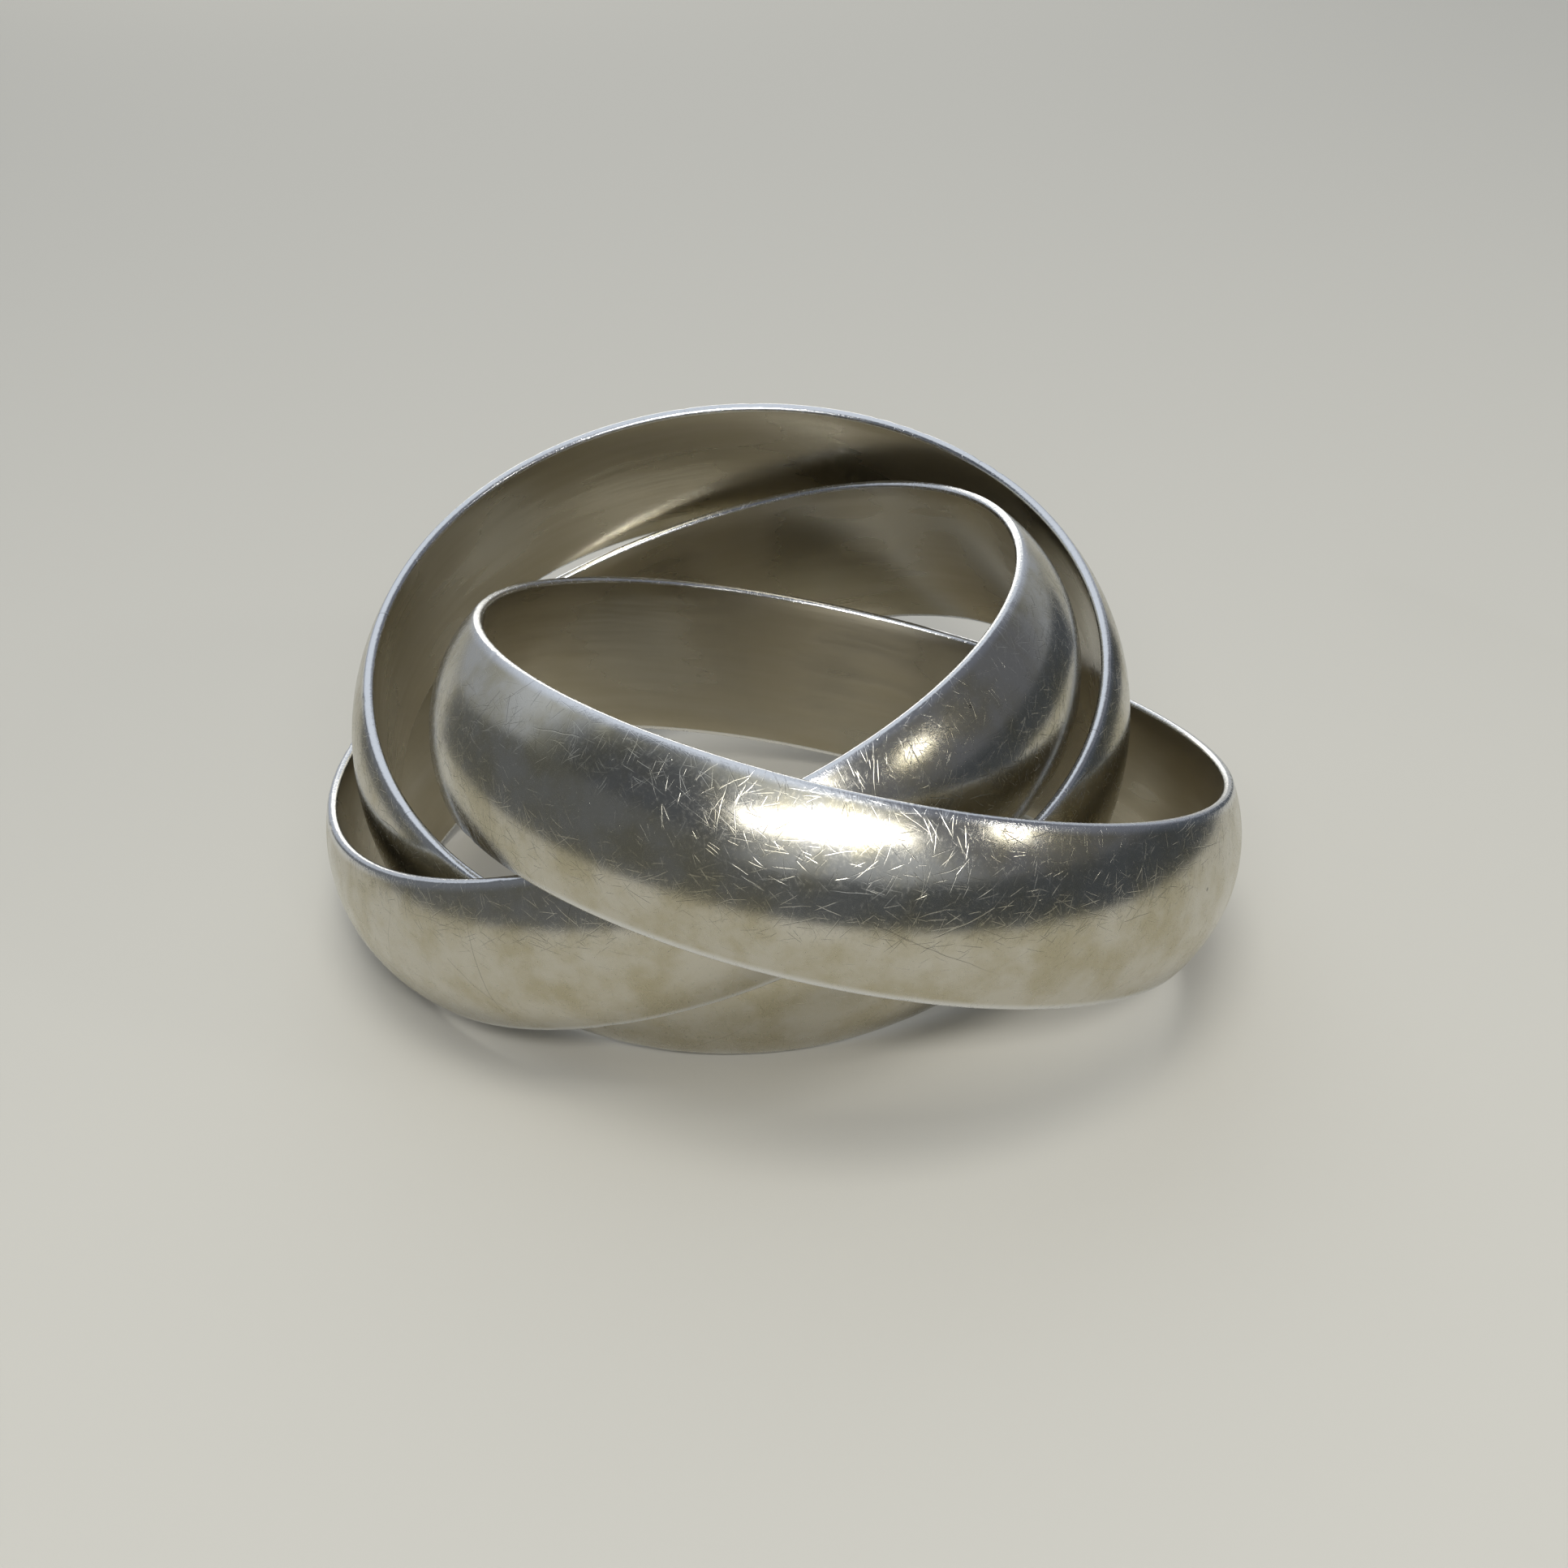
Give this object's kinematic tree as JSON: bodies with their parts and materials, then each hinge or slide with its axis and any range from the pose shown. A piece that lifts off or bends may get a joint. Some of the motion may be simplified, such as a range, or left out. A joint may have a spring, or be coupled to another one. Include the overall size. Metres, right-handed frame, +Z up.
{
  "type": "rolling ring",
  "caption": "Interlinked plain half-round silver bands, a rolling finger ring lying loosely fanned open on a flat surface.",
  "frame": {"origin": "on the surface that the bands lie on, under the middle of the group's box", "axes": "+Z up from that surface, +X to the right and +Y to the back, seen with the front band nearest"},
  "size_m": [0.0252, 0.0251, 0.0115],
  "materials": {
    "worn_silver": "polished, worn with fine scratches"
  },
  "bodies": {
    "front_band": {"front_band": "worn_silver"},
    "middle_band": {"middle_band": "worn_silver"},
    "back_band": {"back_band": "worn_silver"}
  },
  "joints": [
    {"name": "front_band_tilt", "type": "hinge", "parent": "middle_band", "child": "front_band", "pos_m": [0.00449, 0.00659, 0.0005], "axis": [-0.6768, 0.0585, 0.7338], "range_deg": [0, 60]},
    {"name": "back_band_tilt", "type": "hinge", "parent": "middle_band", "child": "back_band", "pos_m": [0.01252, -0.00475, 0.00457], "axis": [0.989, 0.148, 0.003], "range_deg": [0, 42]}
  ]
}
